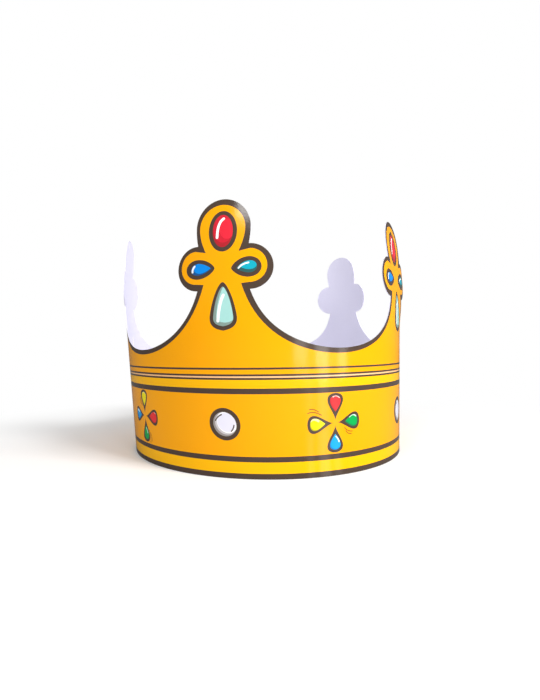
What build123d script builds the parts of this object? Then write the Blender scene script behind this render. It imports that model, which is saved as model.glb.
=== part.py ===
from build123d import *
import math
import os

# A paper crown: one printed card strip with five trefoil peaks, rolled into a ring and lapped.
# Millimetres. The front peak faces -Y, the bottom edge stands on z = 0, and the middle of its box is on the Z axis.

# Card strip
card = 0.45              # thickness of the card
peak_count = 5

# Bottom edge of the ring, through the middle of the card
ring_length = 199.6      # long axis of the oval
ring_width = 175.6       # short axis of the oval
ring_turn = 28.6         # degrees from the front peak round to the long axis

# How the wall stands
flare = 0.039            # growth of the radius for each mm of height
seam_flare = 0.0275      # what is added to it at the seam, and taken off across from the seam
curl_start = 75.0        # height where the peaks begin to curl inwards
curl_depth = 5.5         # how far the top of a peak has curled in
bend_height = 105.0      # height where a peak has taken the whole of its own bend
peak_opening = (2.0, 7.7, -9.0, 4.0, 4.9)    # how far each peak's sides are bent out of the ring's curve
peak_twist = (0.0, 5.0, -9.0, 0.0, 0.8)      # degrees each peak is turned about its own middle

# Cut outline of one peak, on the flat card, out from the middle of the peak
peak_height = 140.5
valley_height = 65.2     # lowest point of the cut edge, halfway between two peaks
valley_reach = 14.0      # how long the edge stays level out of the valley
band_margin = 5.0        # the plain band under the peaks ends this far below the valleys
neck_half = 13.6         # half width where the side lobes spring from the neck
neck_angle = 72.0        # slope of the flank there, in degrees
neck_reach = 26.0        # how long the flank keeps that slope
lobe_radius = 11.35
lobe_out = 13.65         # middle of a side lobe from the middle of the peak
lobe_drop = 34.6         # from the top of the peak down to the middle of a side lobe
waist_half = 13.2        # half width where the top lobe stands on the side lobes
crest_radius = 14.2      # round top of the peak

# Closure, at the peak to the left of the front one
seam_peak = peak_count - 1
lap_width = 20.5         # how far the ends overlap
tab_end = -7.5           # end of the inner tab, from the middle of that peak
tab_height = 74.5        # the tab is cut level at this height
joint_width = 1.5        # both ends meet over this width above the tab

# Points that carry a curve
ring_points = 48         # round the ring
arc_points = 6           # along each stretch of the cut outline
wall_levels = 6          # up a curled stretch of the wall

# The bottom edge as a curve, and the angle and radius at a place along it
rim = Ellipse(ring_length / 2, ring_width / 2, rotation=ring_turn - 90).edge()
girth = rim.length
pitch = girth / peak_count


def polar(point):
    return math.atan2(point.X, -point.Y), math.hypot(point.X, point.Y)


def rim_start():
    """Place along the rim, as a share of its girth, that faces -Y."""
    near, far = 0.0, 1.0
    steps = [i / 360 for i in range(361)]
    turns = [polar(rim @ step)[0] for step in steps]
    for i in range(360):
        if turns[i] <= 0.0 < turns[i + 1] and turns[i + 1] - turns[i] < 1.0:
            near, far = steps[i], steps[i + 1]
    for _ in range(40):
        middle = (near + far) / 2
        if polar(rim @ middle)[0] <= 0.0:
            near = middle
        else:
            far = middle
    return near


front = rim_start()


def rim_place(along):
    """Angle and radius of the rim, a length along it from the front peak."""
    turns = math.floor(along / girth + 0.5)
    angle, radius = polar(rim @ ((front + along / girth) % 1.0))
    while angle - math.tau * (along / girth - turns) > math.pi:
        angle -= math.tau
    while angle - math.tau * (along / girth - turns) < -math.pi:
        angle += math.tau
    return angle + math.tau * turns, radius


# Where the ends of the strip lie, along the rim
inner_end = seam_peak * pitch + tab_end - girth
outer_end = inner_end - lap_width
seam_angle = rim_place(inner_end - lap_width / 2)[0]


def wall_radius(angle, radius, height):
    """Radius of the middle of the wall at a height above a place on the rim."""
    spread = flare + seam_flare * math.cos(angle - seam_angle)
    rise = max(0.0, height - curl_start) / (peak_height - curl_start)
    return radius + spread * height - curl_depth * rise**2


def bend(along, height):
    """How far a peak, bent by hand, lies out of the ring's own curve."""
    number = round(along / pitch) % peak_count
    share = min(1.0, max(0.0, (height - curl_start) / (bend_height - curl_start)))
    across = math.tau * along / pitch
    opened = peak_opening[number] * math.sin(across) ** 2 / 4
    turned = math.tan(math.radians(peak_twist[number])) * math.sin(across) * pitch / math.tau
    return share**2 * (3 - 2 * share) * (opened + turned)


def wall_point(along, height, depth):
    """Point of the wall, at a depth out from its middle."""
    angle, radius = rim_place(along)
    reach = wall_radius(angle, radius, height) + bend(along, height) + depth
    return Vector(reach * math.sin(angle), -reach * math.cos(angle), height)


def wound(along):
    """Depth of the strip's middle: it winds in by one card from the outer end round to the inner end."""
    return card * (0.5 - (along - outer_end) / girth)


def stretch(start, end, height, side, turns):
    """Curve along one face of the strip, side +1 outside and -1 inside, after whole turns of the strip."""
    count = max(3, round(ring_points * (end - start) / girth))
    points = []
    for i in range(count + 1):
        along = start + (end - start) * i / count
        depth = wound(along + turns * girth) + side * card / 2
        points.append(wall_point(along, height, depth))
    return Spline(points)


def closed(edges):
    return Face(Wire(edges))


def outer_section(height):
    """Outside of the wound strip, with the step of one card at its outer end."""
    around = stretch(outer_end, outer_end + girth, height, 1, 0)
    return closed([around, Line(around @ 1, around @ 0)])


def inner_section(height, lapped):
    """Inside of the strip: with the tab the step is at the tab's end, without it at the joint."""
    joint = outer_end + joint_width
    around = stretch(inner_end, joint + girth, height, -1, 0)
    tab = stretch(joint, inner_end, height, -1, 1 if lapped else 0)
    if lapped:
        return closed([around, tab, Line(tab @ 1, around @ 0)])
    return closed([around, Line(around @ 1, tab @ 0), tab])


def levels(low, high):
    """Heights of the sections of a stretch of wall: a straight one needs only its two ends."""
    count = wall_levels if high > curl_start else 1
    return [low + (high - low) * i / count for i in range(count + 1)]


def ring(low, high, lapped):
    """Wall of the wound strip between two heights."""
    outside = loft([outer_section(height) for height in levels(low, high)])
    inside = loft([inner_section(height, lapped) for height in levels(low, high)])
    return outside - inside


def flank():
    """Edge from the valley up to the neck, as one Bezier curve."""
    slope = math.radians(neck_angle)
    low = (pitch / 2, valley_height)
    high = (neck_half, neck_point_height())
    level = (low[0] - valley_reach, low[1])
    steep = (high[0] + neck_reach * math.cos(slope), high[1] - neck_reach * math.sin(slope))
    points = []
    for i in range(arc_points + 3):
        t = i / (arc_points + 2)
        shares = ((1 - t) ** 3, 3 * (1 - t) ** 2 * t, 3 * (1 - t) * t**2, t**3)
        x = sum(share * point[0] for share, point in zip(shares, (low, level, steep, high)))
        z = sum(share * point[1] for share, point in zip(shares, (low, level, steep, high)))
        points.append((x, z))
    return points


lobe_height = peak_height - lobe_drop


def neck_point_height():
    return lobe_height - math.sqrt(lobe_radius**2 - (lobe_out - neck_half) ** 2)


def waist_point_height():
    return lobe_height + math.sqrt(lobe_radius**2 - (lobe_out - waist_half) ** 2)


def arc(middle, radius, start, end):
    """Points along an arc, from one angle to another."""
    points = []
    for i in range(arc_points + 1):
        angle = start + (end - start) * i / arc_points
        points.append((middle[0] + radius * math.cos(angle), middle[1] + radius * math.sin(angle)))
    return points


def lobe():
    """Side lobe, from the neck round to the waist."""
    start = math.atan2(neck_point_height() - lobe_height, neck_half - lobe_out)
    end = math.atan2(waist_point_height() - lobe_height, waist_half - lobe_out)
    return arc((lobe_out, lobe_height), lobe_radius, start, end)


def crest_side():
    """Slightly bowed side of the top lobe, level with the waist up to its round top."""
    foot = waist_point_height()
    rise = peak_height - crest_radius - foot
    inset = crest_radius - waist_half
    bow = (rise**2 + inset**2) / (2 * inset)
    start = -math.asin(rise / bow)
    return arc((crest_radius - bow, peak_height - crest_radius), bow, start, 0.0)


def crest():
    return arc((0.0, peak_height - crest_radius), crest_radius, 0.0, math.pi)


def outline():
    """Cut edge of one peak from valley to valley, as stretches of flat points."""
    right = [flank(), lobe(), crest_side()]
    left = [[(-x, z) for x, z in reversed(points)] for points in reversed(right)]
    return right + [crest()] + left


def peak_section(number, distance):
    """The outline seen from the ring's middle, drawn on an upright plane this far out."""
    facing = rim_place(number * pitch)[0]
    plane = Plane(
        origin=(distance * math.sin(facing), -distance * math.cos(facing), 0.0),
        x_dir=(math.cos(facing), math.sin(facing), 0.0),
        z_dir=(math.sin(facing), -math.cos(facing), 0.0),
    )
    edges = []
    for points in outline():
        seen = []
        for x, z in points:
            across = distance * math.tan(rim_place(number * pitch + x)[0] - facing)
            seen.append(plane.from_local_coords((across, z, 0.0)))
        edges.append(Spline(seen))
    low_right = plane.from_local_coords((plane.to_local_coords(edges[0] @ 0).X, -1.0, 0.0))
    low_left = plane.from_local_coords((plane.to_local_coords(edges[-1] @ 1).X, -1.0, 0.0))
    edges.append(Line(edges[-1] @ 1, low_left))
    edges.append(Line(low_left, low_right))
    edges.append(Line(low_right, edges[0] @ 0))
    return closed(edges)


def peak_wedge(number):
    """Everything behind one peak's outline, cut square to the card by lines from the ring's middle."""
    near = min(ring_length, ring_width) / 4
    far = max(ring_length, ring_width)
    return loft([peak_section(number, near), peak_section(number, far)], ruled=True)


band_height = valley_height - band_margin
band = ring(0.0, band_height, True)
lapped_wall = ring(band_height, tab_height, True)
single_wall = ring(tab_height, peak_height + card, False)
upper_wall = lapped_wall + single_wall
peaks = [upper_wall & peak_wedge(number) for number in range(peak_count)]
crown = band.fuse(*peaks)
box = crown.bounding_box()
crown = Pos(-(box.min.X + box.max.X) / 2, -(box.min.Y + box.max.Y) / 2, 0.0) * crown

print("Crown:", round(crown.volume), "mm3 of card, girth", round(girth, 1), "mm")
os.makedirs("parts", exist_ok=True)
export_step(crown, "parts/card_strip.step")
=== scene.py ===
import math
import bpy
import numpy as np
from mathutils import Matrix, Vector
from mathutils.geometry import delaunay_2d_cdt


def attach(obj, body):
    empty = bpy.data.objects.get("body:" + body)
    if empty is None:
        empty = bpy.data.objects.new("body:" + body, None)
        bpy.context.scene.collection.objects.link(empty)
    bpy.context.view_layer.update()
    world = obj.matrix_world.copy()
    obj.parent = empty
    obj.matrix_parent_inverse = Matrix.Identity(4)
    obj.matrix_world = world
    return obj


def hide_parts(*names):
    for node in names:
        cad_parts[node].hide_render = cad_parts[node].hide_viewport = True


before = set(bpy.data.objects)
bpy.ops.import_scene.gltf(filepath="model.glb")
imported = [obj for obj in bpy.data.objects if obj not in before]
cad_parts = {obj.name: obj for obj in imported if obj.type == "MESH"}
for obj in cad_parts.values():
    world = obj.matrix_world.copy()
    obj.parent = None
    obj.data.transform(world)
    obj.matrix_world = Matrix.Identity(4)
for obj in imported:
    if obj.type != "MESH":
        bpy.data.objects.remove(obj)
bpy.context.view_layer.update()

mm = 0.001


# Small helpers for colours, nodes and modifiers

def linear(code, alpha=1.0):
    parts = [int(code[i:i + 2], 16) / 255 for i in (1, 3, 5)]
    return [p / 12.92 if p <= 0.04045 else ((p + 0.055) / 1.055) ** 2.4 for p in parts] + [alpha]


def addNode(tree, kind, inputs=None, **settings):
    node = tree.nodes.new(kind)
    for name, value in settings.items():
        setattr(node, name, value)
    for key, value in (inputs or {}).items():
        if isinstance(value, bpy.types.Node):
            value = value.outputs[0]
        if isinstance(value, bpy.types.NodeSocket):
            tree.links.new(value, node.inputs[key])
        else:
            node.inputs[key].default_value = value
    return node


def newMaterial(name):
    material = bpy.data.materials.new(name)
    material.use_nodes = True
    material.node_tree.nodes.clear()
    return material, material.node_tree


# How the flat card is rolled into the ring, in millimetres and degrees
roll = {
    "ringLength": 199.6,
    "ringWidth": 175.6,
    "ringTurn": 28.6,
    "flare": 0.039,
    "seamFlare": 0.0275,
    "curlStart": 75.0,
    "curlDepth": 5.5,
    "cardThickness": 0.45,
    "lapGap": 0.02,
    "peakCount": 5,
    "seamPeak": 4,
    "lapWidth": 20.5,
    "tabEnd": -7.5,
    "tabHeight": 74.5,
    "bendHeight": 105.0,
    "peakOpening": (2.0, 7.7, -9.0, 4.0, 4.9),
    "peakTwist": (0.0, 5.0, -9.0, 0.0, 0.8),
    "boxShift": (1.34, 0.307),  # brings the ring onto the solid, whose box is centred
}

# Cut edge of one peak, from the middle of the peak and the rim
cutEdge = {
    "peakHeight": 140.5,
    "crestRadius": 14.2,
    "waistHalf": 13.2,
    "lobeRadius": 11.35,
    "lobeOut": 13.65,
    "lobeHeight": 105.9,
    "neckHalf": 13.6,
    "neckAngle": 72.0,
    "neckReach": 26.0,
    "valleyHeight": 65.2,
    "valleyReach": 14.0,
}


def ellipseGirth(length, width):
    a, b = length / 2, width / 2
    return math.pi * (3 * (a + b) - math.sqrt((3 * a + b) * (a + 3 * b)))


girth = ellipseGirth(roll["ringLength"], roll["ringWidth"])
pitch = girth / roll["peakCount"]
innerEnd = roll["seamPeak"] * pitch + roll["tabEnd"]
outerEnd = innerEnd - girth - roll["lapWidth"]


def arc(x, z, radius, start, end, count):
    steps = [math.radians(start + (end - start) * i / count) for i in range(count + 1)]
    return [(x + radius * math.cos(t), z + radius * math.sin(t)) for t in steps]


def bezier(points, count):
    points = [Vector(p) for p in points]
    curve = []
    for i in range(count + 1):
        level = points
        while len(level) > 1:
            level = [a.lerp(b, i / count) for a, b in zip(level, level[1:])]
        curve.append(tuple(level[0]))
    return curve


# Right half of the cut edge of one peak, from its tip down to the valley
def cutHalf(d):
    rise = math.degrees(math.asin((d["lobeOut"] - d["waistHalf"]) / d["lobeRadius"]))
    drop = math.degrees(math.asin((d["lobeOut"] - d["neckHalf"]) / d["lobeRadius"]))
    crestMiddle = d["peakHeight"] - d["crestRadius"]
    lobe = arc(d["lobeOut"], d["lobeHeight"], d["lobeRadius"], 90 + rise, -90 - drop, 28)
    crest = arc(0, crestMiddle, d["crestRadius"], 90, 0, 18)
    side = bezier([crest[-1], (d["crestRadius"], (crestMiddle + lobe[0][1]) / 2), lobe[0]], 4)
    slope = math.radians(d["neckAngle"])
    neck = lobe[-1]
    steep = (neck[0] + d["neckReach"] * math.cos(slope), neck[1] - d["neckReach"] * math.sin(slope))
    valley = (pitch / 2, d["valleyHeight"])
    flank = bezier([neck, steep, (valley[0] - d["valleyReach"], valley[1]), valley], 22)
    return crest + side[1:] + lobe[1:] + flank[1:]


# Right half of the edge of the gold print, inside the dark border
fieldEdge = {
    "tipHeight": 137.6,
    "crestRadius": 11.9,
    "notch": (8.5, 113.6),
    "lobeRadius": 8.4,
    "lobeMiddle": (14.0, 106.4),
    "neck": (9.7, 97.6),
    "steep": (18.6, 67.5),
    "level": (44.0, 62.6),
    "valleyHeight": 62.6,
    "offset": -0.4,
}


def fieldHalf(d):
    crestMiddle = d["tipHeight"] - d["crestRadius"]
    crest = arc(0, crestMiddle, d["crestRadius"], 90, 0, 18)
    side = bezier([crest[-1], (d["crestRadius"], crestMiddle - 5), d["notch"]], 6)
    lobe = arc(*d["lobeMiddle"], d["lobeRadius"], 88, -88, 24)
    flank = bezier([d["neck"], d["steep"], d["level"], (pitch / 2, d["valleyHeight"])], 22)
    return crest + side[1:] + lobe + flank


def wholePeak(half, middle):
    left = [(middle - x, z) for x, z in reversed(half)]
    return left + [(middle + x, z) for x, z in half[1:]]


# Clips a polyline to a stretch of the card along its length
def clipped(points, low, high):
    kept = []
    for (x0, z0), (x1, z1) in zip(points, points[1:]):
        if x1 <= low or x0 >= high or x1 <= x0 and not low < x0 < high:
            if not (low < x0 < high and low < x1 < high):
                continue
        if x0 < low < x1:
            kept.append((low, z0 + (z1 - z0) * (low - x0) / (x1 - x0)))
        elif low <= x0 <= high and (not kept or kept[-1] != (x0, z0)):
            kept.append((x0, z0))
        if x0 < high < x1:
            kept.append((high, z0 + (z1 - z0) * (high - x0) / (x1 - x0)))
        elif low <= x1 <= high:
            kept.append((x1, z1))
    return kept


peakNumbers = range(-1, roll["peakCount"])
cutLine = []
fieldLine = []
for number in peakNumbers:
    cutLine += wholePeak(cutHalf(cutEdge), number * pitch)[1 if cutLine else 0:]
    fieldLine += wholePeak(fieldHalf(fieldEdge), number * pitch + fieldEdge["offset"])[1 if fieldLine else 0:]


def spaced(x0, x1, z, step=4.0):
    count = max(1, round(abs(x1 - x0) / step))
    return [(x0 + (x1 - x0) * i / count, z) for i in range(count + 1)]


# The whole strip: full height up to where the tab starts, then the tab cut level
tabStart = outerEnd + girth
tabTop = clipped(cutLine, tabStart, innerEnd)
tabTop = [(x, min(z, roll["tabHeight"])) for x, z in tabTop]
strip = clipped(cutLine, outerEnd, tabStart) + tabTop[1:] + spaced(innerEnd, outerEnd, 0.0)

# Height of the dark line printed along the rim
rimLine = 2.85

# Printed inks, as laid on white card under a clear film
inks = {
    "outline": "#4C3E35",
    "gold": "#FCA900",
    "yellow": "#FFBC00",
    "peach": "#F7C28C",
    "white": "#FFFFFF",
    "red": "#E42C3E",
    "redMid": "#CE2636",
    "redDark": "#B0262F",
    "blue": "#048AE6",
    "blueDark": "#1E5490",
    "teal": "#16A8BC",
    "tealDark": "#305E5E",
    "mint": "#A6D8D2",
    "mintDark": "#869C94",
    "pearl": "#E6E5F4",
    "pearlMid": "#CBC6CA",
    "pearlDark": "#9A9390",
    "petalRed": "#E63236",
    "petalRedDark": "#C42A30",
    "petalRedPale": "#FFC4C0",
    "petalGreen": "#08A44C",
    "petalGreenDark": "#20784A",
    "petalGreenPale": "#C4EED8",
    "petalBlue": "#0CA0EA",
    "petalBlueDark": "#0A7CC8",
    "petalBluePale": "#D6F2FF",
    "petalYellow": "#F6E600",
    "petalYellowDark": "#B8AC10",
    "petalYellowPale": "#FFF9A8",
    "accent": "#7E3E1C",
    "card": "#F2F0FA",
}

layers = []


def lay(ink, polygon, inside=None):
    layers.append((ink, polygon, inside))
    return len(layers) - 1


def band(ink, low, high):
    lay(ink, spaced(outerEnd - 2, innerEnd + 2, low) + spaced(innerEnd + 2, outerEnd - 2, high))


def oval(x, z, across, tall, turn=0.0, count=44):
    c, s = math.cos(math.radians(turn)), math.sin(math.radians(turn))
    points = []
    for i in range(count):
        t = math.tau * i / count
        u, v = across * math.cos(t), tall * math.sin(t)
        points.append((x + c * u - s * v, z + s * u + c * v))
    return points


# Drop with its point at (x, z), lying along the direction turn
def drop(x, z, length, width, turn, taper=1.4, count=40):
    c, s = math.cos(math.radians(turn)), math.sin(math.radians(turn))
    waist = max(math.sin(math.tau * i / 400) * math.sin(math.pi * i / 400) ** taper for i in range(200))
    points = []
    for i in range(count):
        t = math.tau * i / count
        u = length * (1 - math.cos(t)) / 2
        v = width / 2 * math.sin(t) * abs(math.sin(t / 2)) ** taper / waist
        points.append((x + c * u - s * v, z + s * u + c * v))
    return points


# Brush stroke with round ends along a bent line
def stroke(points, width, count=8):
    line = [Vector(p) for p in bezier(points, count)]
    left, right = [], []
    for i, p in enumerate(line):
        along = (line[min(i + 1, count)] - line[max(i - 1, 0)]).normalized()
        across = Vector((-along.y, along.x)) * width / 2
        left.append(p + across)
        right.append(p - across)
    ends = []
    for middle, edge in ((line[-1], left[-1]), (line[0], right[0])):
        cap = [middle + Matrix.Rotation(-math.pi * k / 5, 2) @ (edge - middle) for k in range(1, 5)]
        ends.append(cap)
    return [tuple(p) for p in left + ends[0] + right[::-1] + ends[1]]


def moved(points, x, z, turn=0.0):
    c, s = math.cos(math.radians(turn)), math.sin(math.radians(turn))
    return [(x + c * u - s * v, z + s * u + c * v) for u, v in points]


# Long drop standing on a broad rounded foot
def teardrop(half, low, high, bulge, corner):
    shoulder = (half * 0.86, high - (high - low) * 0.42)
    hip = (half, low + corner * 1.6)
    right = bezier([(0.0, high), (half * 0.35, high - 0.4), shoulder, hip], 14)
    foot = bezier([hip, (half * 1.04, low), (half - corner * 1.5, low - bulge * 0.5), (0.0, low - bulge)], 10)
    side = right + foot[1:]
    return side + [(-x, z) for x, z in reversed(side[1:-1])]


stripes = [
    ("yellow", rimLine, 8.6),
    ("outline", 8.6, 11.3),
    ("outline", 42.6, 45.4),
    ("yellow", 45.4, 49.7),
    ("outline", 49.7, 50.7),
    ("peach", 50.7, 51.5),
    ("outline", 51.5, 52.5),
    ("outline", 54.8, 55.8),
]

lay("outline", strip)
base = spaced(fieldLine[-1][0], fieldLine[0][0], rimLine)
lay("gold", fieldLine + base)
for stripe in stripes:
    band(*stripe)

# Jewels, each as fields of ink from the bottom up, and whether a field shows only on the gem under it
# An oval has its middle, half width, half height and turn
# A drop has its point, length, width, direction and taper
# A teardrop has its middle, half width, bottom, top, bulge and corner, and a stroke its points and width
jewels = {
    "peak": [
        ("outline", oval, (0.0, 124.1, 7.4, 10.35), False),
        ("redDark", oval, (0.0, 124.2, 5.25, 8.25), False),
        ("redMid", oval, (0.3, 125.6, 5.3, 7.4), True),
        ("red", oval, (2.3, 125.2, 3.9, 5.2), True),
        ("white", stroke, ([(0.5, 130.4), (-2.8, 128.8), (-2.9, 121.0)], 1.35), True),
        ("outline", drop, (-4.1, 105.6, 15.7, 10.0, 181, 0.4), False),
        ("blueDark", drop, (-6.0, 105.6, 11.2, 5.9, 181, 0.8), False),
        ("blue", drop, (-5.9, 106.1, 9.6, 5.2, 181, 0.8), True),
        ("white", stroke, ([(-16.3, 104.3), (-16.4, 106.0), (-15.1, 107.3)], 1.0), True),
        ("outline", drop, (4.4, 105.2, 14.9, 10.2, 3, 0.4), False),
        ("tealDark", drop, (6.9, 105.1, 10.2, 6.0, 5, 0.8), False),
        ("teal", drop, (8.4, 106.2, 8.6, 4.6, 4, 0.6), True),
        ("white", stroke, ([(8.1, 105.1), (9.6, 107.0), (13.0, 107.6)], 0.8), True),
        ("outline", teardrop, (0.0, 7.1, 75.2, 98.5, 0.9, 3.6), False),
        ("mintDark", teardrop, (0.0, 5.2, 77.2, 96.2, 0.7, 2.4), False),
        ("mint", teardrop, (1.1, 4.6, 78.6, 96.6, 0.3, 2.0), True),
        ("white", stroke, ([(0.3, 92.0), (-1.9, 88.0), (-2.7, 79.2)], 1.5), True),
    ],
    "pearl": [
        ("outline", oval, (0.0, 0.0, 8.6, 7.9, -42), False),
        ("pearlDark", oval, (0.0, 0.0, 6.5, 5.8, -42), False),
        ("pearlMid", oval, (0.6, 0.5, 6.1, 5.4, -42), True),
        ("white", oval, (1.2, 0.9, 5.8, 5.0, -42), True),
        ("pearl", oval, (1.0, 0.95, 5.3, 4.6, -42), True),
        ("outline", stroke, ([(-4.9, 1.7), (-3.9, 3.8), (-1.6, 4.8)], 0.65), True),
        ("outline", stroke, ([(3.5, -3.5), (4.7, -2.2), (4.9, -0.4)], 0.65), True),
    ],
    "pearlPlace": (-0.5, 27.4),  # from the middle of a peak
    "flowerPlace": (-2.9, 27.1),  # from halfway between two peaks
}


def drawJewel(fields, x, z=0.0):
    gem = None
    for ink, shape, sizes, onGem in fields:
        if shape is stroke:
            points, width = sizes
            polygon = stroke([(x + u, z + v) for u, v in points], width)
        elif shape is teardrop:
            polygon = moved(teardrop(*sizes[1:]), x + sizes[0], z)
        else:
            polygon = shape(x + sizes[0], z + sizes[1], *sizes[2:])
        field = lay(ink, polygon, gem if onGem else None)
        if not onGem:
            gem = field


# Four petals round (0, 0), each a drop: how far out its point is, length, width and taper
flowerPrint = {
    "petals": [("petalRed", 90), ("petalGreen", 2), ("petalBlue", 270), ("petalYellow", 182)],
    "edge": (1.3, 13.9, 9.1, 2.2),
    "gem": (5.6, 8.2, 6.2, 1.3),
    "lightWidth": 6.0,
    "lightShift": (0.45, 0.5),
    "shines": {  # points and width, by the side that the petal is on
        0: ([(8.6, 2.6), (10.8, 4.5), (12.9, 2.7)], 1.1),
        90: ([(-1.3, 13.3), (0.2, 14.6), (2.3, 12.8)], 0.7),
        180: ([(-13.7, 1.5), (-12.0, 3.2), (-9.4, 1.4)], 1.1),
        270: ([(0.4, -7.0), (1.7, -8.2), (2.2, -9.8)], 0.75),
    },
    "accents": [
        [(-14.1, 7.3), (-12.3, 8.0), (-9.3, 6.0)],
        [(-15.0, 5.4), (-12.4, 6.9), (-7.8, 4.3)],
        [(5.5, -2.9), (7.4, -5.2), (10.5, -5.2)],
        [(6.4, -4.6), (7.7, -6.7), (9.9, -6.4)],
    ],
    "accentWidth": 0.42,
}


def flower(x, z, turn, d):
    for ink, angle in d["petals"]:
        way = angle + turn
        c, s = math.cos(math.radians(way)), math.sin(math.radians(way))
        out, length, width, taper = d["edge"]
        lay("outline", drop(x + out * c, z + out * s, length, width, way, taper))
        out, length, width, taper = d["gem"]
        gem = lay(ink + "Dark", drop(x + out * c, z + out * s, length, width, way, taper))
        right, up = d["lightShift"]
        light = drop(x + out * c + right, z + out * s + up, length, d["lightWidth"], way, taper)
        lay(ink, light, gem)
        points, width = d["shines"][way // 90 * 90 % 360]
        lay(ink + "Pale", moved(stroke(points, width), x, z), gem)
    for points in d["accents"]:
        if turn:
            points = [(v, u) for u, v in points]  # mirrored, as the left flower shows them
        lay("accent", moved(stroke(points, d["accentWidth"], 5), x, z))


pearlShift, pearlHeight = jewels["pearlPlace"]
flowerShift, flowerHeight = jewels["flowerPlace"]
for number in peakNumbers:
    drawJewel(jewels["peak"], number * pitch)
    drawJewel(jewels["pearl"], number * pitch + pearlShift, pearlHeight)
    flower((number + 0.5) * pitch + flowerShift, flowerHeight, 0 if number >= 0 else -90, flowerPrint)

print("Flat print:", len(layers), "fields of ink")


def counterclockwise(polygon):
    area = sum(a[0] * b[1] - b[0] * a[1] for a, b in zip(polygon, polygon[1:] + polygon[:1]))
    return polygon if area > 0 else polygon[::-1]


# Triangles of a flat polygon, with the layers that cover each
def triangulate(polygons, loose):
    points, faces = [], []
    for polygon in map(counterclockwise, polygons):
        faces.append(list(range(len(points), len(points) + len(polygon))))
        points += polygon
    points = points + loose
    return delaunay_2d_cdt([Vector(p) for p in points], [], faces, 0, 1e-4, True)


# Points between the edges, so that the card can bend: step along it and up it
grid = {"front": (5.0, 7.0), "inside": (6.0, 8.0), "top": 138}


def loosePoints(step, rise):
    columns = np.arange(outerEnd + step / 2, innerEnd, step)
    rows = np.arange(rise / 2, grid["top"], rise)
    return [(float(x), float(z)) for x in columns for z in rows]


polygons = [polygon for _, polygon, _ in layers]
flatPoints, _, triangles, _, _, covers = triangulate(polygons, loosePoints(*grid["front"]))
front = []
for triangle, cover in zip(triangles, covers):
    if 0 not in cover:
        continue
    topmost = max(k for k in cover if layers[k][2] is None or layers[k][2] in cover)
    front.append((tuple(triangle), layers[topmost][0]))

# A side that only one triangle has lies on the cut edge
sides = dict.fromkeys((a, b) for triangle, _ in front for a, b in zip(triangle, triangle[1:] + triangle[:1]))
rim = {a: b for a, b in sides if (b, a) not in sides}
loop = [next(iter(rim))]
while rim[loop[-1]] != loop[0]:
    loop.append(rim[loop[-1]])
print("Outline closes:", len(loop) == len(rim), len(rim), "points,", len(front), "printed triangles")

loopPoints = [tuple(flatPoints[k]) for k in loop]
inside = triangulate([loopPoints], loosePoints(*grid["inside"]))
backPoints, _, backTriangles, backOrigins, _, backCovers = inside
backTriangles = [tuple(t) for t, cover in zip(backTriangles, backCovers) if cover]
backIndex = {}
for new, origins in enumerate(backOrigins):
    for origin in origins:
        if origin < len(loop):
            backIndex[origin] = new
print("Inside:", len(backTriangles), "triangles")

half = roll["cardThickness"] / 2
vertices = [(p[0], -half, p[1]) for p in flatPoints] + [(p[0], half, p[1]) for p in backPoints]
shift = len(flatPoints)
faces = [t for t, _ in front]
faceInks = [ink for _, ink in front]
faces += [tuple(shift + k for k in reversed(t)) for t in backTriangles]
faceInks += ["card"] * len(backTriangles)
for i in range(len(loop)):
    j = (i + 1) % len(loop)
    faces.append((loop[j], loop[i], shift + backIndex[i], shift + backIndex[j]))
    faceInks.append("card")

mesh = bpy.data.meshes.new("crownStrip")
mesh.from_pydata([[c * mm for c in v] for v in vertices], [], faces)
ink = mesh.attributes.new("ink", "FLOAT_COLOR", "CORNER")
printed = mesh.attributes.new("printed", "BOOLEAN", "FACE")
skin = mesh.attributes.new("skin", "BOOLEAN", "FACE")
uv = mesh.uv_layers.new(name="flatCard")
colours = {name: linear(code) for name, code in inks.items()}

# Each peak carries its own bend, as it was bent by hand
opening = mesh.attributes.new("opening", "FLOAT", "POINT")
twist = mesh.attributes.new("twist", "FLOAT", "POINT")
for vertex in mesh.vertices:
    number = round(vertex.co.x / (pitch * mm)) % roll["peakCount"]
    opening.data[vertex.index].value = roll["peakOpening"][number] * mm
    twist.data[vertex.index].value = math.tan(math.radians(roll["peakTwist"][number]))
for polygon in mesh.polygons:
    colour = colours[faceInks[polygon.index]]
    printed.data[polygon.index].value = polygon.index < len(front)
    skin.data[polygon.index].value = polygon.index < len(front) + len(backTriangles)
    for k in polygon.loop_indices:
        ink.data[k].color = colour
        co = mesh.vertices[mesh.loops[k].vertex_index].co
        uv.data[k].uv = (co.x, co.z)
crown = bpy.data.objects.new("crownStrip", mesh)
bpy.context.collection.objects.link(crown)
bpy.context.view_layer.update()


# Clear film over offset print on card: the ink's colour under a smooth film, with soft reflections
# The board's grain under the film is drawn coarser than the real one, so that it shows
filmPrint = {
    "grainSize": 0.9,
    "grainDepth": 0.045,
    "waveSize": 28,
    "waveDepth": 0.35,
    "roughness": 0.13,
    "specularLevel": 0.35,
}


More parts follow.
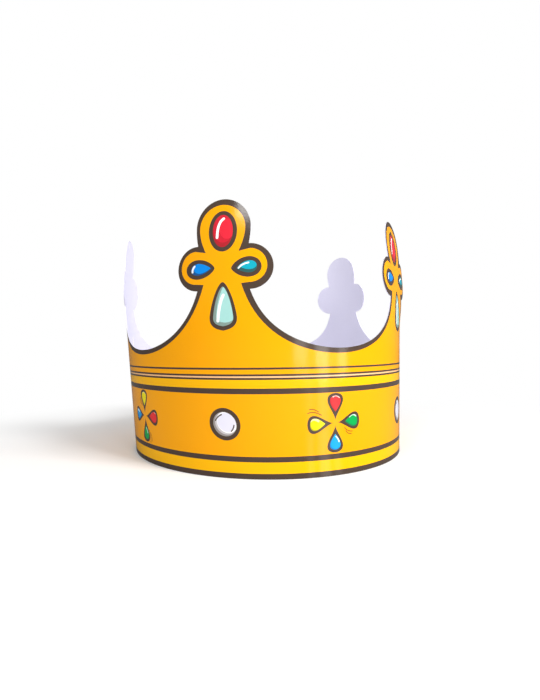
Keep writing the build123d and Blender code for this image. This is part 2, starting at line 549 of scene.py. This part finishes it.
def printMaterial(d):
    material, tree = newMaterial("laminatedPrintOnCard")
    colour = addNode(tree, "ShaderNodeAttribute", attribute_name="ink")
    place = addNode(tree, "ShaderNodeUVMap", uv_map="flatCard")
    grain = addNode(tree, "ShaderNodeTexNoise", {
        "Vector": place, "Scale": 1 / (d["grainSize"] * mm), "Detail": 3.0,
    })
    wave = addNode(tree, "ShaderNodeTexNoise", {
        "Vector": place, "Scale": 1 / (d["waveSize"] * mm), "Detail": 1.0,
    })
    fine = addNode(tree, "ShaderNodeBump", {
        "Height": grain.outputs["Fac"], "Strength": 0.6, "Distance": d["grainDepth"] * mm,
    })
    bump = addNode(tree, "ShaderNodeBump", {
        "Height": wave.outputs["Fac"], "Strength": 0.5, "Distance": d["waveDepth"] * mm, "Normal": fine,
    })
    shader = addNode(tree, "ShaderNodeBsdfPrincipled", {
        "Base Color": colour.outputs["Color"],
        "Roughness": d["roughness"],
        "IOR": 1.5,
        "Specular IOR Level": d["specularLevel"],
        "Normal": bump,
    })
    addNode(tree, "ShaderNodeOutputMaterial", {"Surface": shader})
    return material


# Uncoated white board: dull, with a faint mottled fibre, drawn coarse enough to show
board = {
    "fibreSize": 1.6,
    "fibreDepth": 0.03,
    "dark": "#E8E5FA",
    "light": "#EFEDFC",
    "roughness": 0.75,
}


def boardMaterial(d):
    material, tree = newMaterial("uncoatedWhiteBoard")
    place = addNode(tree, "ShaderNodeUVMap", uv_map="flatCard")
    fibre = addNode(tree, "ShaderNodeTexNoise", {
        "Vector": place, "Scale": 1 / (d["fibreSize"] * mm), "Detail": 5.0, "Roughness": 0.65,
    })
    mottle = addNode(tree, "ShaderNodeMix", {  # its sockets 6 and 7 are the two colours, and 2 their mix
        "Factor": fibre.outputs["Fac"], 6: linear(d["dark"]), 7: linear(d["light"]),
    }, data_type="RGBA")
    bump = addNode(tree, "ShaderNodeBump", {
        "Height": fibre.outputs["Fac"], "Strength": 0.4, "Distance": d["fibreDepth"] * mm,
    })
    shader = addNode(tree, "ShaderNodeBsdfPrincipled", {
        "Base Color": mottle.outputs[2],
        "Roughness": d["roughness"],
        "IOR": 1.45,
        "Normal": bump,
    })
    addNode(tree, "ShaderNodeOutputMaterial", {"Surface": shader})
    return material


# Rolls the flat card round an oval ring, with one node tree
def rollTree():
    tree = bpy.data.node_groups.new("rollCard", "GeometryNodeTree")
    face = tree.interface
    face.new_socket("Geometry", in_out="INPUT", socket_type="NodeSocketGeometry")
    names = ["Ring Length", "Ring Width", "Ring Turn", "Flare", "Seam Flare", "Curl Start", "Curl Depth",
             "Bend Height", "Peak Height", "Peak Count", "Outer End", "Inner End", "Card Winding"]
    for name in names:
        face.new_socket(name, in_out="INPUT", socket_type="NodeSocketFloat")
    for name in ("Print", "Board"):
        face.new_socket(name, in_out="INPUT", socket_type="NodeSocketMaterial")
    face.new_socket("Geometry", in_out="OUTPUT", socket_type="NodeSocketGeometry")
    given = addNode(tree, "NodeGroupInput").outputs
    sums, vectors = "ShaderNodeMath", "ShaderNodeVectorMath"

    # Oval rim that starts at the front and turns towards +X
    rimSteps = 1440
    index = addNode(tree, "GeometryNodeInputIndex")
    angle = addNode(tree, sums, {0: index, 1: math.tau / rimSteps}, operation="MULTIPLY")
    fromLong = addNode(tree, sums, {0: angle, 1: given["Ring Turn"]}, operation="SUBTRACT")
    longCosine = addNode(tree, sums, {0: fromLong}, operation="COSINE")
    longSine = addNode(tree, sums, {0: fromLong}, operation="SINE")
    halfLength = addNode(tree, sums, {0: given["Ring Length"], 1: 2.0}, operation="DIVIDE")
    halfWidth = addNode(tree, sums, {0: given["Ring Width"], 1: 2.0}, operation="DIVIDE")
    longShare = addNode(tree, sums, {0: longCosine, 1: halfLength}, operation="DIVIDE")
    wideShare = addNode(tree, sums, {0: longSine, 1: halfWidth}, operation="DIVIDE")
    longSquare = addNode(tree, sums, {0: longShare, 1: 2.0}, operation="POWER")
    wideSquare = addNode(tree, sums, {0: wideShare, 1: 2.0}, operation="POWER")
    squares = addNode(tree, sums, {0: longSquare, 1: wideSquare}, operation="ADD")
    root = addNode(tree, sums, {0: squares}, operation="SQRT")
    radius = addNode(tree, sums, {0: 1.0, 1: root}, operation="DIVIDE")
    sine = addNode(tree, sums, {0: angle}, operation="SINE")
    cosine = addNode(tree, sums, {0: angle}, operation="COSINE")
    rimX = addNode(tree, sums, {0: radius, 1: sine}, operation="MULTIPLY")
    inFront = addNode(tree, sums, {0: radius, 1: cosine}, operation="MULTIPLY")
    rimY = addNode(tree, sums, {0: inFront, 1: -1.0}, operation="MULTIPLY")
    rimPoint = addNode(tree, "ShaderNodeCombineXYZ", {"X": rimX, "Y": rimY})
    circle = addNode(tree, "GeometryNodeCurvePrimitiveCircle", {"Resolution": rimSteps}).outputs["Curve"]
    rimCurve = addNode(tree, "GeometryNodeSetPosition", {"Geometry": circle, "Position": rimPoint})
    length = addNode(tree, "GeometryNodeCurveLength", {"Curve": rimCurve})

    def rimAt(along):
        place = addNode(tree, sums, {0: along, 1: length}, operation="FLOORED_MODULO")
        found = addNode(tree, "GeometryNodeSampleCurve", {"Curves": rimCurve, "Length": place}, mode="LENGTH")
        return found.outputs["Position"]

    # Each point goes up its own line of the wall, out from the middle of the ring
    position = addNode(tree, "GeometryNodeInputPosition")
    flat = addNode(tree, "ShaderNodeSeparateXYZ", {"Vector": position}).outputs
    rim = rimAt(flat["X"])
    outward = addNode(tree, vectors, {0: rim}, operation="NORMALIZE")

    # The wall leans out, and more towards the seam
    ends = addNode(tree, sums, {0: given["Outer End"], 1: given["Inner End"]}, operation="ADD")
    seamPlace = addNode(tree, sums, {0: ends, 1: 2.0}, operation="DIVIDE")
    seam = addNode(tree, vectors, {0: rimAt(seamPlace)}, operation="NORMALIZE")
    facing = addNode(tree, vectors, {0: outward, 1: seam}, operation="DOT_PRODUCT").outputs["Value"]
    spread = addNode(tree, sums, {
        0: facing, 1: given["Seam Flare"], 2: given["Flare"],
    }, operation="MULTIPLY_ADD")
    lean = addNode(tree, sums, {0: flat["Z"], 1: spread}, operation="MULTIPLY")

    # The peaks curl in towards their tips
    above = addNode(tree, sums, {0: flat["Z"], 1: given["Curl Start"]}, operation="SUBTRACT")
    rise = addNode(tree, sums, {0: above, 1: 0.0}, operation="MAXIMUM")
    curled = addNode(tree, sums, {0: given["Peak Height"], 1: given["Curl Start"]}, operation="SUBTRACT")
    share = addNode(tree, sums, {0: rise, 1: curled}, operation="DIVIDE")
    shareSquare = addNode(tree, sums, {0: share, 1: 2.0}, operation="POWER")
    curl = addNode(tree, sums, {0: shareSquare, 1: given["Curl Depth"]}, operation="MULTIPLY")

    # Each peak's own bend opens its sides and turns it about its middle
    gap = addNode(tree, sums, {0: length, 1: given["Peak Count"]}, operation="DIVIDE")
    along = addNode(tree, sums, {0: flat["X"], 1: math.tau}, operation="MULTIPLY")
    phase = addNode(tree, sums, {0: along, 1: gap}, operation="DIVIDE")
    across = addNode(tree, sums, {0: phase}, operation="SINE")
    acrossSquare = addNode(tree, sums, {0: across, 1: 2.0}, operation="POWER")
    carried = "GeometryNodeInputNamedAttribute"
    opening = addNode(tree, carried, {"Name": "opening"}, data_type="FLOAT")
    twist = addNode(tree, carried, {"Name": "twist"}, data_type="FLOAT")
    quarter = addNode(tree, sums, {0: opening, 1: 4.0}, operation="DIVIDE")
    opened = addNode(tree, sums, {0: acrossSquare, 1: quarter}, operation="MULTIPLY")
    twisted = addNode(tree, sums, {0: twist, 1: across}, operation="MULTIPLY")
    lever = addNode(tree, sums, {0: gap, 1: math.tau}, operation="DIVIDE")
    turned = addNode(tree, sums, {0: twisted, 1: lever}, operation="MULTIPLY")
    taken = addNode(tree, "ShaderNodeMapRange", {
        "Value": flat["Z"], "From Min": given["Curl Start"], "From Max": given["Bend Height"],
    }, interpolation_type="SMOOTHSTEP").outputs["Result"]
    wholeBend = addNode(tree, sums, {0: opened, 1: turned}, operation="ADD")
    bend = addNode(tree, sums, {0: taken, 1: wholeBend}, operation="MULTIPLY")

    # The strip winds inwards by its own thickness, so that its ends lap
    fromEnd = addNode(tree, sums, {0: flat["X"], 1: given["Outer End"]}, operation="SUBTRACT")
    turns = addNode(tree, sums, {0: fromEnd, 1: length}, operation="DIVIDE")
    fromHalf = addNode(tree, sums, {0: 0.5, 1: turns}, operation="SUBTRACT")
    winding = addNode(tree, sums, {0: fromHalf, 1: given["Card Winding"]}, operation="MULTIPLY")

    curledWall = addNode(tree, sums, {0: lean, 1: curl}, operation="SUBTRACT")
    bentWall = addNode(tree, sums, {0: curledWall, 1: bend}, operation="ADD")
    cardFace = addNode(tree, sums, {0: bentWall, 1: flat["Y"]}, operation="SUBTRACT")
    reach = addNode(tree, sums, {0: cardFace, 1: winding}, operation="ADD")
    height = addNode(tree, "ShaderNodeCombineXYZ", {"Z": flat["Z"]})
    out = addNode(tree, vectors, {0: outward, "Scale": reach}, operation="SCALE")
    level = addNode(tree, vectors, {0: rim, 1: out}, operation="ADD")
    place = addNode(tree, vectors, {0: level, 1: height}, operation="ADD")
    rolled = addNode(tree, "GeometryNodeSetPosition", {"Geometry": given["Geometry"], "Position": place})
    real = addNode(tree, "GeometryNodeRealizeInstances", {"Geometry": rolled})
    plain = addNode(tree, "GeometryNodeSetMaterial", {"Geometry": real, "Material": given["Board"]})
    printedFaces = addNode(tree, carried, {"Name": "printed"}, data_type="BOOLEAN")
    done = addNode(tree, "GeometryNodeSetMaterial", {
        "Geometry": plain, "Selection": printedFaces, "Material": given["Print"],
    })
    addNode(tree, "NodeGroupOutput", {"Geometry": done})
    return tree


def setInput(modifier, name, value):
    for item in modifier.node_group.interface.items_tree:
        if item.name == name and getattr(item, "in_out", "") == "INPUT":
            modifier[item.identifier] = value


modifier = crown.modifiers.new("rollCard", "NODES")
modifier.node_group = rollTree()
values = {
    "Ring Length": roll["ringLength"] * mm,
    "Ring Width": roll["ringWidth"] * mm,
    "Ring Turn": math.radians(roll["ringTurn"]),
    "Flare": roll["flare"],
    "Seam Flare": roll["seamFlare"],
    "Curl Start": roll["curlStart"] * mm,
    "Curl Depth": roll["curlDepth"] * mm,
    "Bend Height": roll["bendHeight"] * mm,
    "Peak Height": cutEdge["peakHeight"] * mm,
    "Peak Count": float(roll["peakCount"]),
    "Outer End": outerEnd * mm,
    "Inner End": (innerEnd - girth) * mm,
    "Card Winding": (roll["cardThickness"] + roll["lapGap"]) * mm,
    "Print": printMaterial(filmPrint),
    "Board": boardMaterial(board),
}
for name, value in values.items():
    setInput(modifier, name, value)
bpy.context.view_layer.update()
rolledCrown = crown.evaluated_get(bpy.context.evaluated_depsgraph_get())
rolledMesh = bpy.data.meshes.new_from_object(rolledCrown)
crown.modifiers.clear()
crown.data = rolledMesh
rolledMesh.name = "crownStrip"

# The solid was moved so, to bring the middle of its box onto the Z axis
rolledMesh.transform(Matrix.Translation((roll["boxShift"][0] * mm, roll["boxShift"][1] * mm, 0)))
print("Rolled:", len(rolledMesh.vertices), "points")

# Smooth faces, with a sharp edge all round the cut
skinFlags = rolledMesh.attributes["skin"].data
for polygon in rolledMesh.polygons:
    polygon.use_smooth = skinFlags[polygon.index].value
rolledMesh.update()
edgeFaces = {}
for polygon in rolledMesh.polygons:
    for key in polygon.edge_keys:
        edgeFaces.setdefault(key, set()).add(bool(skinFlags[polygon.index].value))
for edge in rolledMesh.edges:
    edge.use_edge_sharp = len(edgeFaces[edge.key]) > 1

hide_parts("card_strip")
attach(crown, "root")

# White paper sweep and a plain white sky, in metres; shine sees a dimmer room than other light does
studio = {
    "skyStrength": 0.52,
    "mirroredStrength": 0.16,
    "floorHalf": 8,
    "floorColour": "#D9D9D9",
    "mirroredFloor": "#808080",
    "barsFrom": (0.0228, -0.066),
    "barEdges": (  # degrees from the front towards the right, and brightness
        (37, 0.0), (39, 0.5), (43, 0.5), (45, 0.0),
        (48, 0.3), (50, 0.9), (57, 1.0), (59, 0.0),
        (63, 0.5), (66, 0.5), (68, 0.0),
    ),
    "barStrength": 2.2,
    "fadeStart": 0.13,
    "fadeEnd": 0.32,
}

# Place, what it points at, size in metres and power in watts; the three strips stand to the right
lamps = {
    "keyWindow": ((0.96, -0.52, 0.86), (0, 0, 0.05), (0.45, 0.45), 11.5),
    "leftFill": ((-0.9, -0.9, 0.6), (0, 0, 0.05), (0.8, 0.8), 2.0),
    "crestWindow": ((-0.15, -0.94, 0.64), (0, -0.09, 0.13), (0.18, 0.11), 1.2),
    "stripOne": ((0.289, -0.461, 0.205), (0.037, -0.088, 0.205), (0.085, 0.4), 0.42),
    "stripTwo": ((0.409, -0.352, 0.205), (0.048, -0.084, 0.205), (0.1, 0.4), 0.56),
    "stripThree": ((0.485, -0.216, 0.205), (0.057, -0.077, 0.205), (0.07, 0.4), 0.4),
}
white = linear("#FFFFFF")


# White paper: the lens sees it white, with the shadow, and fading into the white behind
# Shine sees a duller floor with bars of light on it, and other light sees pale paper
def floorMaterial(d):
    material, tree = newMaterial("whitePaperSweep")
    seen = addNode(tree, "ShaderNodeBsdfDiffuse", {"Color": white})
    far = addNode(tree, "ShaderNodeEmission", {"Color": white, "Strength": 1.0})
    place = addNode(tree, "ShaderNodeTexCoord").outputs["Object"]
    reach = addNode(tree, "ShaderNodeVectorMath", {0: place}, operation="LENGTH")
    fade = addNode(tree, "ShaderNodeMapRange", {
        "Value": reach.outputs["Value"], "From Min": d["fadeStart"], "From Max": d["fadeEnd"],
    }, interpolation_type="SMOOTHSTEP")
    sweep = addNode(tree, "ShaderNodeMixShader", {0: fade, 1: seen, 2: far})
    paper = addNode(tree, "ShaderNodeBsdfDiffuse", {"Color": linear(d["floorColour"])})
    dull = addNode(tree, "ShaderNodeBsdfDiffuse", {"Color": linear(d["mirroredFloor"])})
    middle = [-c for c in d["barsFrom"]] + [0]
    centred = addNode(tree, "ShaderNodeMapping", {"Vector": place, "Location": middle})
    around = addNode(tree, "ShaderNodeTexGradient", {"Vector": centred}, gradient_type="RADIAL")
    bars = addNode(tree, "ShaderNodeValToRGB", {"Fac": around.outputs["Fac"]})
    steps = bars.color_ramp.elements
    while len(steps) < len(d["barEdges"]):
        steps.new(0.5)
    for step, (angle, level) in zip(steps, d["barEdges"]):
        step.position = (angle - 90) / 360 + 0.5  # the gradient starts at the left and is halfway at +X
        step.color = (level, level, level, 1)
    glow = addNode(tree, "ShaderNodeEmission", {"Color": bars.outputs["Color"], "Strength": d["barStrength"]})
    lit = addNode(tree, "ShaderNodeAddShader", {0: dull, 1: glow})
    ray = addNode(tree, "ShaderNodeLightPath").outputs
    shine = addNode(tree, "ShaderNodeMixShader", {0: ray["Is Glossy Ray"], 1: paper, 2: lit})
    mix = addNode(tree, "ShaderNodeMixShader", {0: ray["Is Camera Ray"], 1: shine, 2: sweep})
    addNode(tree, "ShaderNodeOutputMaterial", {"Surface": mix})
    return material


edge = studio["floorHalf"]
floorMesh = bpy.data.meshes.new("floor")
floorCorners = [(-edge, -edge, 0), (edge, -edge, 0), (edge, edge, 0), (-edge, edge, 0)]
floorMesh.from_pydata(floorCorners, [], [(0, 1, 2, 3)])
floor = bpy.data.objects.new("floor", floorMesh)
floor.data.materials.append(floorMaterial(studio))
bpy.context.collection.objects.link(floor)

world = bpy.data.worlds.new("studio")
bpy.context.scene.world = world
world.use_nodes = True
tree = world.node_tree
tree.nodes.clear()
ray = addNode(tree, "ShaderNodeLightPath").outputs
sky = addNode(tree, "ShaderNodeBackground", {"Color": white, "Strength": studio["skyStrength"]})
backdrop = addNode(tree, "ShaderNodeBackground", {"Color": white, "Strength": 1.0})
room = addNode(tree, "ShaderNodeBackground", {"Color": white, "Strength": studio["mirroredStrength"]})
shine = addNode(tree, "ShaderNodeMixShader", {0: ray["Is Glossy Ray"], 1: sky, 2: room})
mix = addNode(tree, "ShaderNodeMixShader", {0: ray["Is Camera Ray"], 1: shine, 2: backdrop})
addNode(tree, "ShaderNodeOutputWorld", {"Surface": mix})

for name, (place, target, size, power) in lamps.items():
    data = bpy.data.lights.new(name, "AREA")
    data.shape = "RECTANGLE"
    data.size, data.size_y = size
    data.energy = power
    lamp = bpy.data.objects.new(name, data)
    lamp.location = place
    lamp.rotation_euler = (Vector(target) - Vector(place)).to_track_quat("-Z", "Y").to_euler()
    lamp.visible_camera = False
    lamp.visible_glossy = name != "leftFill"  # its reflection would veil the left of the print
    bpy.context.collection.objects.link(lamp)
print("Studio:", len(lamps), "lamps")

# Camera, from the photograph's own lines, in millimetres, degrees and pixels
view = {
    "place": (67.93, -319.883, 65.19),
    "yaw": -11.049,
    "pitch": 0.195,
    "roll": -0.688,
    "focalPixels": 459.60,
    "photoHeight": 700,
    "sensor": 36,
}
yaw, tilt, lean = (math.radians(view[k]) for k in ("yaw", "pitch", "roll"))
forward = Vector((math.sin(yaw) * math.cos(tilt), math.cos(yaw) * math.cos(tilt), -math.sin(tilt)))
levelRight = Vector((math.cos(yaw), -math.sin(yaw), 0))
levelUp = levelRight.cross(forward)
right = levelRight * math.cos(lean) + levelUp * math.sin(lean)
up = levelUp * math.cos(lean) - levelRight * math.sin(lean)
cameraData = bpy.data.cameras.new("camera")
cameraData.sensor_width = view["sensor"]
cameraData.lens = view["focalPixels"] / view["photoHeight"] * view["sensor"]
cameraData.clip_start = 0.01
camera = bpy.data.objects.new("camera", cameraData)
turn = Matrix((right, up, -forward)).transposed().to_4x4()
camera.matrix_world = Matrix.Translation(Vector(view["place"]) * mm) @ turn
bpy.context.collection.objects.link(camera)
bpy.context.scene.camera = camera
bpy.context.scene.view_settings.view_transform = "Standard"
print("Camera: at the photograph's view")
